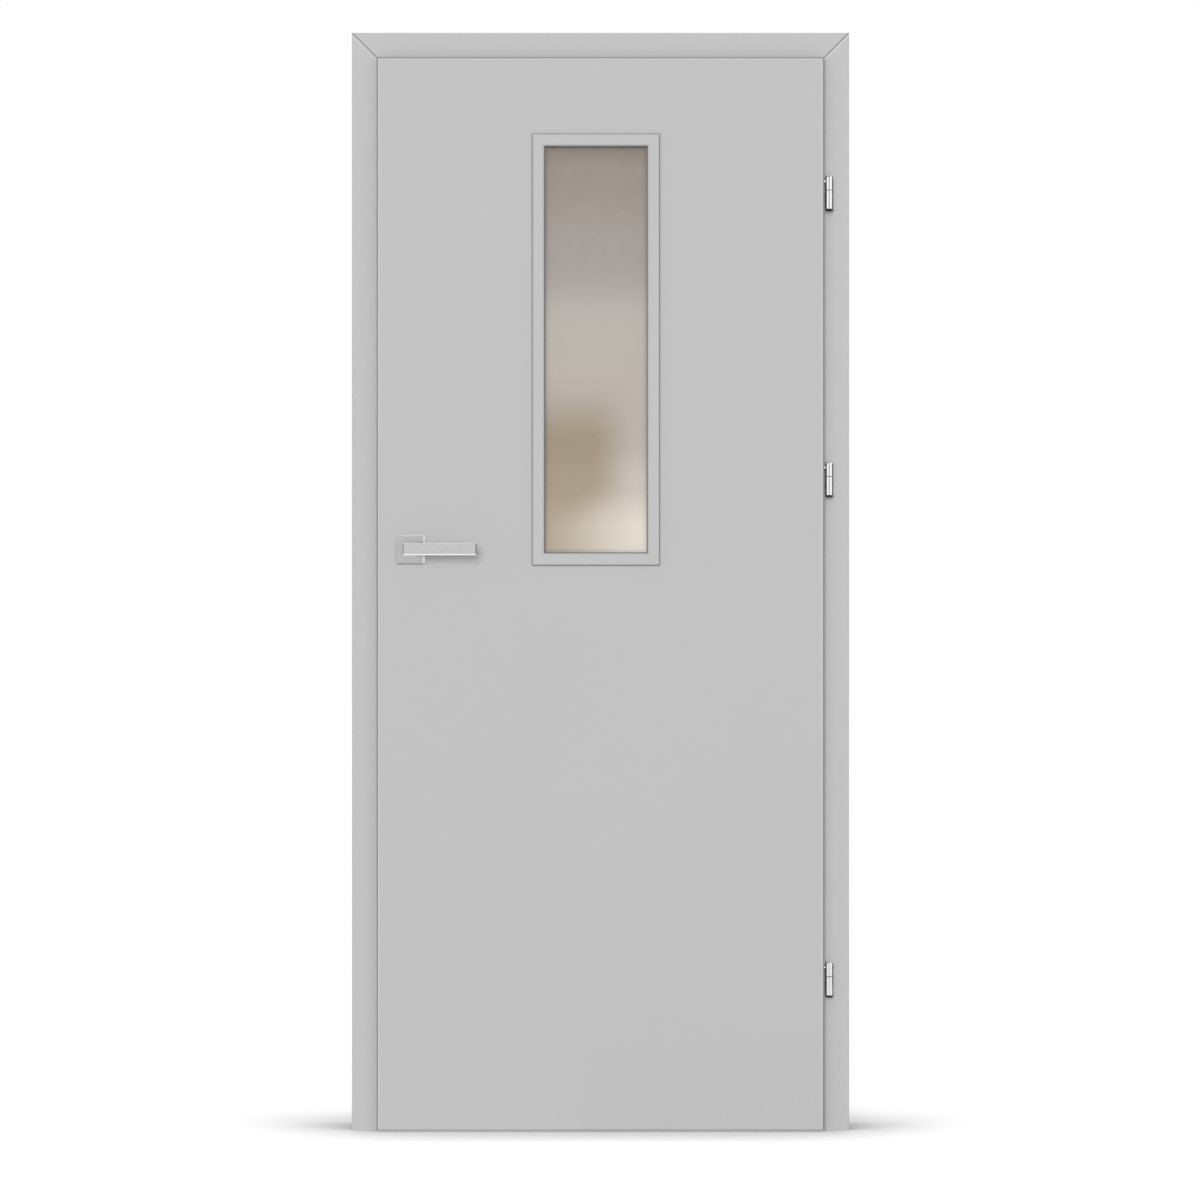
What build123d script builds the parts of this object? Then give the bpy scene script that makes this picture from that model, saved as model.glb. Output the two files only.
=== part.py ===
from build123d import *

import os
from math import atan2, cos, degrees, radians, sin

# Interior door: a flush rebated leaf with a tall glazed slot, hung on three two-part pin hinges
# in an adjustable frame that wraps round the wall. All sizes are millimetres.
# +Z is up and -Y faces the side that the leaf opens towards. The origin is on the foot of the
# hinge-side jamb: x = 0 in the middle of its thickness, y = 0 in the middle of the wall.

# Leaf
LEAF_WIDTH = 844.0
LEAF_HEIGHT = 2029.5
LEAF_THICKNESS = 40.0
LIP_WIDTH = 13.0
LIP_THICKNESS = 15.0
SKIN_THICKNESS = 3.0
STILE_WIDTH = 100.0
RAIL_HEIGHT = 60.0
LEAF_EDGE_RADIUS = 2.4

# Clearances round the closed leaf
FLOOR_GAP = 2.5
REBATE_GAP = 5.0
LIP_GAP = 5.0
STOP_GAP = 5.0

# Frame
WALL_THICKNESS = 100.0
JAMB_THICKNESS = 26.0
STOP_WIDTH = 14.0
JAMB_EDGE_RADIUS = 2.0
ARCHITRAVE_WIDTH = 57.5
ARCHITRAVE_THICKNESS = 16.0
ARCHITRAVE_RADIUS = 2.0
REAR_ARCHITRAVE_WIDTH = 60.0
REAR_ARCHITRAVE_THICKNESS = 14.0
REAR_REVEAL = 10.0
TONGUE_THICKNESS = 8.0
TONGUE_LENGTH = 25.0
TONGUE_CLEARANCE = 0.3
MITRE_GROOVE_WIDTH = 2.6
MITRE_GROOVE_DEPTH = 3.0

# Door seal
SEAL_INSET = 4.5
SEAL_STEM_WIDTH = 2.6
SEAL_STEM_LENGTH = 5.5
SEAL_HEAD_WIDTH = 6.0
SEAL_LEAF_CLEARANCE = 1.0
SEAL_CLEARANCE = 0.2

# Glazed slot
WINDOW_WIDTH = 240.0
WINDOW_HEIGHT = 815.0
WINDOW_TOP_MARGIN = 145.0
WINDOW_SHIFT = 8.5
BEAD_WIDTH = 22.0
BEAD_OVERLAP = 12.0
BEAD_PROUD = 7.0
BEAD_CLEARANCE = 0.5
BEAD_BEVEL = 2.5
BEAD_EDGE = 2.0
GLASS_THICKNESS = 4.0
GLASS_SETBACK = 7.0
GLASS_CLEARANCE = 2.0

# Pin hinges
TOP_HINGE_DROP = 251.0
MIDDLE_HINGE_DROP = 793.0
BOTTOM_HINGE_RISE = 289.5
HINGE_AXIS_OFFSET = 11.4
KNUCKLE_RADIUS = 7.5
FRAME_KNUCKLE_LENGTH = 36.0
LEAF_KNUCKLE_LENGTH = 26.0
KNUCKLE_EDGE = 1.6
WASHER_THICKNESS = 1.2
WASHER_INSET = 0.8
WASHER_CLEARANCE = 0.3
PIN_RADIUS = 4.0
PIN_LENGTH = 18.0
PIN_CLEARANCE = 0.06
PIN_END_CLEARANCE = 1.0
STEM_RADIUS = 3.0
STEM_CLEARANCE = 0.2
LEAF_STEM_LENGTH = 52.0
LEAF_STEM_RISE = 16.0
FRAME_STEM_LENGTH = 60.0
FRAME_STEM_DROP = 18.0

# Lever handles and their square roses
LEVER_BACKSET = 62.0
LEVER_HEIGHT_ABOVE_FLOOR = 1101.5
ROSE_SIDE = 55.0
ROSE_THICKNESS = 8.0
ROSE_BEVEL_DEPTH = 1.1
ROSE_BEVEL_WIDTH = 2.0
ROSE_CORNER_RADIUS = 2.6
SPIGOT_RADIUS = 9.0
SPIGOT_LENGTH = 7.0
SPIGOT_CLEARANCE = 0.08
NECK_GAP = 0.6
LEVER_DEPTH = 23.0
LEVER_TAIL = 12.5
LEVER_REACH = 127.0
LEVER_BAR_THICKNESS = 12.0
LEVER_PROJECTION = 52.0
LEVER_EDGE = 2.4
SPINDLE_SIDE = 8.0
SPINDLE_SEAT = 20.0
SPINDLE_CLEARANCE = 0.05
SPINDLE_BORE_RADIUS = 8.5

# Mortise lock, latch and strike
FACEPLATE_WIDTH = 18.0
FACEPLATE_LENGTH = 196.0
FACEPLATE_THICKNESS = 3.0
FACEPLATE_DROP = 20.0
LOCK_CASE_WIDTH = 14.0
LOCK_CASE_HEIGHT = 165.0
LOCK_CASE_DEPTH = 80.0
LOCK_CLEARANCE = 0.2
LATCH_WIDTH = 10.0
LATCH_HEIGHT = 30.0
LATCH_LENGTH = 22.0
LATCH_RISE = 14.0
STRIKE_LENGTH = 150.0
STRIKE_THICKNESS = 2.0
STRIKE_BEND_RADIUS = 1.8
STRIKE_FRONT_LEG = 7.0
STRIKE_SIDE_LEG = 23.0
STRIKE_CLEARANCE = 0.1
STRIKE_HOLE_MARGIN = 1.5
STRIKE_POCKET_DEPTH = 8.0

# Levels across the wall, worked from the front of the wall outwards and back
wall_front_y = -WALL_THICKNESS / 2
wall_rear_y = WALL_THICKNESS / 2
architrave_front_y = wall_front_y - ARCHITRAVE_THICKNESS
architrave_rear_y = wall_rear_y + REAR_ARCHITRAVE_THICKNESS
lip_back_y = architrave_front_y - LIP_GAP
leaf_front_y = lip_back_y - LIP_THICKNESS
leaf_back_y = leaf_front_y + LEAF_THICKNESS
leaf_mid_y = (leaf_front_y + leaf_back_y) / 2
front_skin_back_y = leaf_front_y + SKIN_THICKNESS
back_skin_front_y = leaf_back_y - SKIN_THICKNESS
stop_y = leaf_back_y + STOP_GAP

# Doorway
body_width = LEAF_WIDTH - 2 * LIP_WIDTH
passage_width = body_width + 2 * REBATE_GAP - 2 * STOP_WIDTH
leaf_top = FLOOR_GAP + LEAF_HEIGHT
body_top = leaf_top - LIP_WIDTH
passage_top = body_top + REBATE_GAP - STOP_WIDTH
hinge_face_x = -JAMB_THICKNESS / 2
mid_x = hinge_face_x - passage_width / 2
lock_face_x = mid_x - passage_width / 2
leaf_lock_edge_x = mid_x - LEAF_WIDTH / 2
leaf_hinge_edge_x = mid_x + LEAF_WIDTH / 2
body_lock_edge_x = leaf_lock_edge_x + LIP_WIDTH
body_hinge_edge_x = leaf_hinge_edge_x - LIP_WIDTH
stile_lock_inner_x = body_lock_edge_x + STILE_WIDTH
stile_hinge_inner_x = body_hinge_edge_x - STILE_WIDTH
member_overrun = STOP_WIDTH + ARCHITRAVE_WIDTH + REAR_ARCHITRAVE_WIDTH

# Glazing
window_x = mid_x - WINDOW_SHIFT
window_z = leaf_top - WINDOW_TOP_MARGIN - WINDOW_HEIGHT / 2
cutout_width = WINDOW_WIDTH - 2 * BEAD_OVERLAP
cutout_height = WINDOW_HEIGHT - 2 * BEAD_OVERLAP
sight_width = WINDOW_WIDTH - 2 * BEAD_WIDTH
sight_height = WINDOW_HEIGHT - 2 * BEAD_WIDTH
glass_front_y = leaf_front_y + GLASS_SETBACK
glass_back_y = glass_front_y + GLASS_THICKNESS

# Hinge line: beside the lip's edge, level with the middle of the lip's thickness
hinge_x = leaf_hinge_edge_x + HINGE_AXIS_OFFSET
hinge_y = (leaf_front_y + lip_back_y) / 2
knuckle_gap = WASHER_THICKNESS + WASHER_CLEARANCE
hinge_heights = {
    "top": leaf_top - TOP_HINGE_DROP,
    "middle": leaf_top - MIDDLE_HINGE_DROP,
    "bottom": FLOOR_GAP + BOTTOM_HINGE_RISE,
}
rebate_wall_mid_x = hinge_face_x + (STOP_WIDTH + JAMB_THICKNESS) / 2
rebate_wall_mid_y = (wall_front_y + stop_y) / 2
frame_stem_angle = degrees(atan2(hinge_x - rebate_wall_mid_x, rebate_wall_mid_y - hinge_y))

# Lever axis, lock and strike
lever_x = leaf_lock_edge_x + LEVER_BACKSET
lever_z = LEVER_HEIGHT_ABOVE_FLOOR
rose_front_y = leaf_front_y - ROSE_THICKNESS
lever_front_y = leaf_front_y - LEVER_PROJECTION
neck_back_y = rose_front_y - NECK_GAP
lock_y = (lip_back_y + back_skin_front_y) / 2
latch_z = lever_z + LATCH_RISE
faceplate_z = lever_z - FACEPLATE_DROP
rebate_lock_x = lock_face_x - STOP_WIDTH

# Working planes
hinge_side_plane = Plane(origin=(hinge_face_x, 0, 0), x_dir=(1, 0, 0), z_dir=(0, 0, 1))
head_plane = Plane(
    origin=(hinge_face_x + member_overrun, 0, passage_top), x_dir=(0, 0, 1), z_dir=(-1, 0, 0)
)
hinge_mitre = Plane(origin=(hinge_face_x, 0, passage_top), x_dir=(0, 1, 0), z_dir=(1, 0, -1))
lock_mitre = Plane(origin=(lock_face_x, 0, passage_top), x_dir=(0, 1, 0), z_dir=(-1, 0, -1))
doorway_mid_plane = Plane.YZ.offset(mid_x)
leaf_mid_plane = Plane.XZ.offset(-leaf_mid_y)


def upright_at(y):
    """Upright plane at depth y: local x and y are the world's x and z, and +normal faces the front."""
    return Plane.XZ.offset(-y)


def save(part, name):
    """Labels a finished piece and writes it to its own STEP file."""
    part.label = name
    export_step(part, f"parts/{name}.step")


os.makedirs("parts", exist_ok=True)


# Frame sections: local x runs outwards from the passage face, local y is the world's y

def jamb_section():
    """Lining board with its rebate wall, stop, seal groove and groove for the rear tongue."""
    with BuildSketch() as section:
        with BuildLine():
            Polyline(
                (STOP_WIDTH, wall_front_y),
                (JAMB_THICKNESS, wall_front_y),
                (JAMB_THICKNESS, wall_rear_y),
                (0, wall_rear_y),
                (0, stop_y),
                (STOP_WIDTH, stop_y),
                close=True,
            )
        make_face()
        fillet(section.vertices().group_by(Axis.X)[0], radius=JAMB_EDGE_RADIUS)
        with Locations((SEAL_INSET, stop_y)):
            Rectangle(
                SEAL_STEM_WIDTH + 2 * SEAL_CLEARANCE,
                SEAL_STEM_LENGTH + SEAL_CLEARANCE,
                align=(Align.CENTER, Align.MIN),
                mode=Mode.SUBTRACT,
            )
        with Locations((REAR_REVEAL - TONGUE_CLEARANCE, wall_rear_y)):
            Rectangle(
                TONGUE_THICKNESS + 2 * TONGUE_CLEARANCE,
                TONGUE_LENGTH + TONGUE_CLEARANCE,
                align=(Align.MIN, Align.MAX),
                mode=Mode.SUBTRACT,
            )
    return section.sketch


def front_architrave_section():
    """Flat architrave with its two front arrises rounded."""
    with BuildSketch() as section:
        with Locations((STOP_WIDTH, wall_front_y)):
            Rectangle(ARCHITRAVE_WIDTH, ARCHITRAVE_THICKNESS, align=(Align.MIN, Align.MAX))
        fillet(section.vertices().group_by(Axis.Y)[0], radius=ARCHITRAVE_RADIUS)
    return section.sketch


def rear_architrave_section():
    """Angle architrave: a flange on the wall and a tongue that slides in the jamb's groove."""
    with BuildSketch() as section:
        with Locations((REAR_REVEAL, wall_rear_y)):
            Rectangle(
                REAR_ARCHITRAVE_WIDTH, REAR_ARCHITRAVE_THICKNESS, align=(Align.MIN, Align.MIN)
            )
            Rectangle(TONGUE_THICKNESS, TONGUE_LENGTH, align=(Align.MIN, Align.MAX))
        fillet(section.vertices().group_by(Axis.Y)[-1], radius=ARCHITRAVE_RADIUS)
    return section.sketch


def seal_section():
    """Soft seal: a stem in the jamb's groove and a round-cornered head that faces the leaf."""
    head_height = STOP_GAP - SEAL_LEAF_CLEARANCE
    with BuildSketch() as section:
        with Locations((SEAL_INSET, stop_y)):
            Rectangle(SEAL_HEAD_WIDTH, head_height, align=(Align.CENTER, Align.MAX))
        fillet(section.vertices().group_by(Axis.Y)[0], radius=min(head_height, SEAL_HEAD_WIDTH) / 2.5)
        with Locations((SEAL_INSET, stop_y)):
            Rectangle(SEAL_STEM_WIDTH, SEAL_STEM_LENGTH, align=(Align.CENTER, Align.MIN))
    return section.sketch


def groove_mitre(outward, show_y):
    """Cuts half of the V along one mitre from the show face of the part under construction.

    outward is 1 for the hinge-side corner of the head and -1 for the lock-side corner.
    """
    corner_x = hinge_face_x if outward > 0 else lock_face_x
    along = Plane(
        origin=(corner_x, show_y, passage_top), x_dir=(1, 0, -outward), z_dir=(outward, 0, 1)
    )
    half_width = MITRE_GROOVE_WIDTH / 2
    depth = MITRE_GROOVE_DEPTH if show_y < 0 else -MITRE_GROOVE_DEPTH
    with BuildSketch(along) as vee:
        with BuildLine():
            Polyline((-half_width, 0), (0, depth), (half_width, 0), close=True)
        make_face()
    extrude(vee.sketch, amount=2 * member_overrun, mode=Mode.SUBTRACT)


def upright_member(section, show_y=None):
    """Hinge-side length of a frame section, mitred at the head. show_y is the face with a V at the mitre."""
    with BuildPart() as member:
        with BuildSketch(hinge_side_plane):
            add(section)
        extrude(amount=passage_top + member_overrun)
        split(bisect_by=hinge_mitre, keep=Keep.TOP)
        if show_y is not None:
            groove_mitre(1, show_y)
    return member


def head_member(section, show_y=None):
    """Head length of a frame section, mitred at both ends."""
    with BuildPart() as member:
        with BuildSketch(head_plane):
            add(section)
        extrude(amount=passage_width + 2 * member_overrun)
        split(bisect_by=hinge_mitre, keep=Keep.BOTTOM)
        split(bisect_by=lock_mitre, keep=Keep.BOTTOM)
        if show_y is not None:
            groove_mitre(1, show_y)
            groove_mitre(-1, show_y)
    return member


# Hinge pieces and the holes that take their stems

def frame_stem_plane(hinge_z):
    """Plane on the hinge line whose normal runs back into the rebate wall of the jamb."""
    slope = radians(frame_stem_angle)
    return Plane(
        origin=(hinge_x, hinge_y, hinge_z - FRAME_STEM_DROP),
        x_dir=(0, 0, 1),
        z_dir=(-sin(slope), cos(slope), 0),
    )


def leaf_stem_plane(hinge_z):
    """Plane on the hinge line whose normal runs into the edge of the leaf."""
    stem_z = hinge_z + knuckle_gap + LEAF_STEM_RISE
    return Plane(origin=(hinge_x, hinge_y, stem_z), x_dir=(0, 1, 0), z_dir=(-1, 0, 0))


def drill_stem_holes(planes, length):
    """Cuts a clearance hole along each stem from the part under construction."""
    for plane in planes:
        with BuildSketch(plane) as hole:
            Circle(STEM_RADIUS + STEM_CLEARANCE)
        extrude(hole.sketch, amount=length + STEM_CLEARANCE, mode=Mode.SUBTRACT)


frame_stem_planes = [frame_stem_plane(z) for z in hinge_heights.values()]
leaf_stem_planes = [leaf_stem_plane(z) for z in hinge_heights.values()]


# Frame: three jambs

jamb_blank = upright_member(jamb_section())
front_architrave_blank = upright_member(front_architrave_section(), architrave_front_y)
rear_architrave_blank = upright_member(rear_architrave_section(), architrave_rear_y)
seal_blank = upright_member(seal_section())


def strike_section(clearance, bend_radius=0):
    """Angle of the strike in plan, with its bend on the architrave's inner front arris."""
    corner_x = rebate_lock_x
    inner_x = corner_x - STRIKE_THICKNESS - clearance
    inner_y = architrave_front_y + STRIKE_THICKNESS + clearance
    with BuildSketch() as section:
        with BuildLine():
            Polyline(
                (corner_x, architrave_front_y),
                (corner_x, architrave_front_y + STRIKE_SIDE_LEG + clearance),
                (inner_x, architrave_front_y + STRIKE_SIDE_LEG + clearance),
                (inner_x, inner_y),
                (corner_x - STRIKE_FRONT_LEG - clearance, inner_y),
                (corner_x - STRIKE_FRONT_LEG - clearance, architrave_front_y),
                close=True,
            )
        make_face()
        if bend_radius:
            bend = section.vertices().group_by(Axis.Y)[0].sort_by(Axis.X)[-1]
            fillet(bend, radius=bend_radius)
    return section.sketch


def cut_strike_recess():
    """Cuts the strike's recess, and the pocket behind its latch hole, from the part under construction."""
    with BuildSketch(Plane.XY.offset(latch_z - STRIKE_LENGTH / 2 - STRIKE_CLEARANCE)) as recess:
        add(strike_section(STRIKE_CLEARANCE))
    extrude(recess.sketch, amount=STRIKE_LENGTH + 2 * STRIKE_CLEARANCE, mode=Mode.SUBTRACT)
    with BuildSketch(Plane.YZ.offset(rebate_lock_x)) as pocket:
        with Locations((lock_y, latch_z)):
            Rectangle(LATCH_WIDTH + 2 * STRIKE_HOLE_MARGIN, LATCH_HEIGHT + 2 * STRIKE_HOLE_MARGIN)
    extrude(pocket.sketch, amount=-(STRIKE_THICKNESS + STRIKE_POCKET_DEPTH), mode=Mode.SUBTRACT)


with BuildPart() as hinge_jamb:
    add(jamb_blank.part)
    drill_stem_holes(frame_stem_planes, FRAME_STEM_LENGTH)
save(hinge_jamb.part, "hinge_jamb")

with BuildPart() as lock_jamb:
    mirror(jamb_blank.part, about=doorway_mid_plane)
    cut_strike_recess()
save(lock_jamb.part, "lock_jamb")

head_jamb = head_member(jamb_section())
save(head_jamb.part, "head_jamb")


# Frame: architraves, front and rear

with BuildPart() as hinge_architrave:
    add(front_architrave_blank.part)
    drill_stem_holes(frame_stem_planes, FRAME_STEM_LENGTH)
save(hinge_architrave.part, "front_architrave_hinge_side")

with BuildPart() as lock_architrave:
    mirror(front_architrave_blank.part, about=doorway_mid_plane)
    cut_strike_recess()
save(lock_architrave.part, "front_architrave_lock_side")

head_architrave = head_member(front_architrave_section(), architrave_front_y)
save(head_architrave.part, "front_architrave_head")

save(rear_architrave_blank.part, "rear_architrave_hinge_side")
with BuildPart() as rear_lock_architrave:
    mirror(rear_architrave_blank.part, about=doorway_mid_plane)
save(rear_lock_architrave.part, "rear_architrave_lock_side")
rear_head_architrave = head_member(rear_architrave_section(), architrave_rear_y)
save(rear_head_architrave.part, "rear_architrave_head")


# Frame: seals in the stops

save(seal_blank.part, "seal_hinge_side")
with BuildPart() as lock_seal:
    mirror(seal_blank.part, about=doorway_mid_plane)
save(lock_seal.part, "seal_lock_side")
head_seal = head_member(seal_section())
save(head_seal.part, "seal_head")


# Frame: strike plate

with BuildPart() as strike_plate:
    with BuildSketch(Plane.XY.offset(latch_z - STRIKE_LENGTH / 2)):
        add(strike_section(0, STRIKE_BEND_RADIUS))
    extrude(amount=STRIKE_LENGTH)
    with BuildSketch(Plane.YZ.offset(rebate_lock_x)):
        with Locations((lock_y, latch_z)):
            Rectangle(LATCH_WIDTH + 2 * STRIKE_HOLE_MARGIN, LATCH_HEIGHT + 2 * STRIKE_HOLE_MARGIN)
    extrude(amount=-STRIKE_THICKNESS, mode=Mode.SUBTRACT)
save(strike_plate.part, "strike_plate")


# Leaf: skins, stiles, rails and core

def leaf_openings():
    """Window cut-out and spindle bore, taken from the sketch under construction."""
    with Locations((window_x, window_z)):
        Rectangle(cutout_width, cutout_height, mode=Mode.SUBTRACT)
    with Locations((lever_x, lever_z)):
        Circle(SPINDLE_BORE_RADIUS, mode=Mode.SUBTRACT)


with BuildPart() as front_skin:
    with BuildSketch(upright_at(leaf_front_y)):
        with Locations((mid_x, FLOOR_GAP)):
            Rectangle(LEAF_WIDTH, LEAF_HEIGHT, align=(Align.CENTER, Align.MIN))
        leaf_openings()
    extrude(amount=-SKIN_THICKNESS)
    fillet(front_skin.faces().sort_by(Axis.Y)[0].outer_wire().edges(), radius=LEAF_EDGE_RADIUS)
save(front_skin.part, "leaf_front_skin")

with BuildPart() as back_skin:
    with BuildSketch(upright_at(back_skin_front_y)):
        with Locations((mid_x, FLOOR_GAP)):
            Rectangle(body_width, body_top - FLOOR_GAP, align=(Align.CENTER, Align.MIN))
        leaf_openings()
    extrude(amount=-SKIN_THICKNESS)
    fillet(back_skin.faces().sort_by(Axis.Y)[-1].outer_wire().edges(), radius=LEAF_EDGE_RADIUS)
save(back_skin.part, "leaf_back_skin")

with BuildPart() as stile_blank:
    with BuildSketch(Plane.XY.offset(FLOOR_GAP)):
        with BuildLine():
            Polyline(
                (leaf_lock_edge_x, front_skin_back_y),
                (stile_lock_inner_x, front_skin_back_y),
                (stile_lock_inner_x, back_skin_front_y),
                (body_lock_edge_x, back_skin_front_y),
                (body_lock_edge_x, lip_back_y),
                (leaf_lock_edge_x, lip_back_y),
                close=True,
            )
        make_face()
    extrude(amount=LEAF_HEIGHT)
    with BuildSketch(upright_at(lip_back_y)):
        with Locations((leaf_lock_edge_x, body_top)):
            Rectangle(LIP_WIDTH + STILE_WIDTH, LIP_WIDTH, align=(Align.MIN, Align.MIN))
    extrude(amount=lip_back_y - back_skin_front_y, mode=Mode.SUBTRACT)

with BuildPart() as lock_stile:
    add(stile_blank.part)
    with BuildSketch(upright_at(leaf_mid_y)):
        with Locations((lever_x, lever_z)):
            Circle(SPINDLE_BORE_RADIUS)
    extrude(amount=LEAF_THICKNESS, both=True, mode=Mode.SUBTRACT)
    with BuildSketch(Plane.YZ.offset(body_lock_edge_x)):
        with Locations((lock_y, faceplate_z)):
            SlotOverall(
                FACEPLATE_LENGTH + 2 * LOCK_CLEARANCE, FACEPLATE_WIDTH + 2 * LOCK_CLEARANCE, rotation=90
            )
    extrude(amount=FACEPLATE_THICKNESS, mode=Mode.SUBTRACT)
    with BuildSketch(Plane.YZ.offset(body_lock_edge_x)):
        with Locations((lock_y, faceplate_z)):
            Rectangle(LOCK_CASE_WIDTH + 2 * LOCK_CLEARANCE, LOCK_CASE_HEIGHT + 2 * LOCK_CLEARANCE)
    extrude(amount=FACEPLATE_THICKNESS + LOCK_CASE_DEPTH + LOCK_CLEARANCE, mode=Mode.SUBTRACT)
save(lock_stile.part, "leaf_lock_stile")

with BuildPart() as hinge_stile:
    mirror(stile_blank.part, about=doorway_mid_plane)
    drill_stem_holes(leaf_stem_planes, LEAF_STEM_LENGTH)
save(hinge_stile.part, "leaf_hinge_stile")

with BuildPart() as top_rail:
    with BuildSketch(Plane.YZ.offset(stile_lock_inner_x)):
        with BuildLine():
            Polyline(
                (front_skin_back_y, body_top - RAIL_HEIGHT),
                (back_skin_front_y, body_top - RAIL_HEIGHT),
                (back_skin_front_y, body_top),
                (lip_back_y, body_top),
                (lip_back_y, leaf_top),
                (front_skin_back_y, leaf_top),
                close=True,
            )
        make_face()
    extrude(amount=stile_hinge_inner_x - stile_lock_inner_x)
save(top_rail.part, "leaf_top_rail")

with BuildPart() as bottom_rail:
    with BuildSketch(Plane.YZ.offset(stile_lock_inner_x)):
        with Locations((front_skin_back_y, FLOOR_GAP)):
            Rectangle(
                back_skin_front_y - front_skin_back_y, RAIL_HEIGHT, align=(Align.MIN, Align.MIN)
            )
    extrude(amount=stile_hinge_inner_x - stile_lock_inner_x)
save(bottom_rail.part, "leaf_bottom_rail")

with BuildPart() as core:
    with BuildSketch(upright_at(front_skin_back_y)):
        with Locations((stile_lock_inner_x, FLOOR_GAP + RAIL_HEIGHT)):
            Rectangle(
                stile_hinge_inner_x - stile_lock_inner_x,
                body_top - FLOOR_GAP - 2 * RAIL_HEIGHT,
                align=(Align.MIN, Align.MIN),
            )
        with Locations((window_x, window_z)):
            Rectangle(cutout_width, cutout_height, mode=Mode.SUBTRACT)
    extrude(amount=front_skin_back_y - back_skin_front_y)
save(core.part, "leaf_core")


# Leaf: moulded glazing frames clamping one pane

def glazing_frame(face_y, outward, collar_depth):
    """Moulded frame: a proud flange on one face of the leaf and a collar that reaches in to the pane.

    outward is -1 for the front face of the leaf and 1 for its back.
    """
    face_plane = Plane(origin=(window_x, face_y, window_z), x_dir=(1, 0, 0), z_dir=(0, outward, 0))
    show = -1 if outward > 0 else 0
    with BuildPart() as moulding:
        with BuildSketch(face_plane):
            Rectangle(WINDOW_WIDTH, WINDOW_HEIGHT)
            Rectangle(sight_width, sight_height, mode=Mode.SUBTRACT)
        extrude(amount=BEAD_PROUD)
        with BuildSketch(face_plane):
            Rectangle(cutout_width - 2 * BEAD_CLEARANCE, cutout_height - 2 * BEAD_CLEARANCE)
            Rectangle(sight_width, sight_height, mode=Mode.SUBTRACT)
        extrude(amount=-collar_depth)
        chamfer(moulding.faces().sort_by(Axis.Y)[show].outer_wire().edges(), length=BEAD_EDGE)
        chamfer(moulding.faces().sort_by(Axis.Y)[show].inner_wires()[0].edges(), length=BEAD_BEVEL)
    return moulding


front_glazing_frame = glazing_frame(leaf_front_y, -1, glass_front_y - leaf_front_y)
save(front_glazing_frame.part, "glazing_frame_front")
rear_glazing_frame = glazing_frame(leaf_back_y, 1, leaf_back_y - glass_back_y)
save(rear_glazing_frame.part, "glazing_frame_rear")

with BuildPart() as glass_pane:
    with BuildSketch(upright_at(glass_front_y)):
        with Locations((window_x, window_z)):
            Rectangle(cutout_width - 2 * GLASS_CLEARANCE, cutout_height - 2 * GLASS_CLEARANCE)
    extrude(amount=-GLASS_THICKNESS)
save(glass_pane.part, "glass_pane")


# Leaf: mortise lock and its latch bolt, drawn back flush with the faceplate

with BuildPart() as mortise_lock:
    with BuildSketch(Plane.YZ.offset(body_lock_edge_x)):
        with Locations((lock_y, faceplate_z)):
            SlotOverall(FACEPLATE_LENGTH, FACEPLATE_WIDTH, rotation=90)
    extrude(amount=FACEPLATE_THICKNESS)
    with BuildSketch(Plane.YZ.offset(body_lock_edge_x + FACEPLATE_THICKNESS)):
        with Locations((lock_y, faceplate_z)):
            Rectangle(LOCK_CASE_WIDTH, LOCK_CASE_HEIGHT)
    extrude(amount=LOCK_CASE_DEPTH)
    with BuildSketch(upright_at(lock_y)):
        with Locations((lever_x, lever_z)):
            Circle(SPINDLE_BORE_RADIUS)
    extrude(amount=LOCK_CASE_WIDTH, both=True, mode=Mode.SUBTRACT)
    with BuildSketch(Plane.YZ.offset(body_lock_edge_x)):
        with Locations((lock_y, latch_z)):
            Rectangle(LATCH_WIDTH + 2 * LOCK_CLEARANCE, LATCH_HEIGHT + 2 * LOCK_CLEARANCE)
    extrude(amount=LATCH_LENGTH, mode=Mode.SUBTRACT)
save(mortise_lock.part, "mortise_lock")

with BuildPart() as latch_bolt:
    with BuildSketch(Plane.YZ.offset(body_lock_edge_x)):
        with Locations((lock_y, latch_z)):
            Rectangle(LATCH_WIDTH, LATCH_HEIGHT)
    extrude(amount=LATCH_LENGTH)
save(latch_bolt.part, "latch_bolt")


# Roses and levers, front and rear, on one square spindle

with BuildPart() as front_rose:
    with BuildSketch(upright_at(leaf_front_y)):
        with Locations((lever_x, lever_z)):
            RectangleRounded(ROSE_SIDE, ROSE_SIDE, ROSE_CORNER_RADIUS)
            Circle(SPIGOT_RADIUS + SPIGOT_CLEARANCE, mode=Mode.SUBTRACT)
    extrude(amount=ROSE_THICKNESS)
    rose_face = front_rose.faces().sort_by(Axis.Y)[0]
    chamfer(
        rose_face.outer_wire().edges(), ROSE_BEVEL_WIDTH, ROSE_BEVEL_DEPTH, reference=rose_face
    )
save(front_rose.part, "rose_front")

with BuildPart() as rear_rose:
    mirror(front_rose.part, about=leaf_mid_plane)
save(rear_rose.part, "rose_rear")

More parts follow.
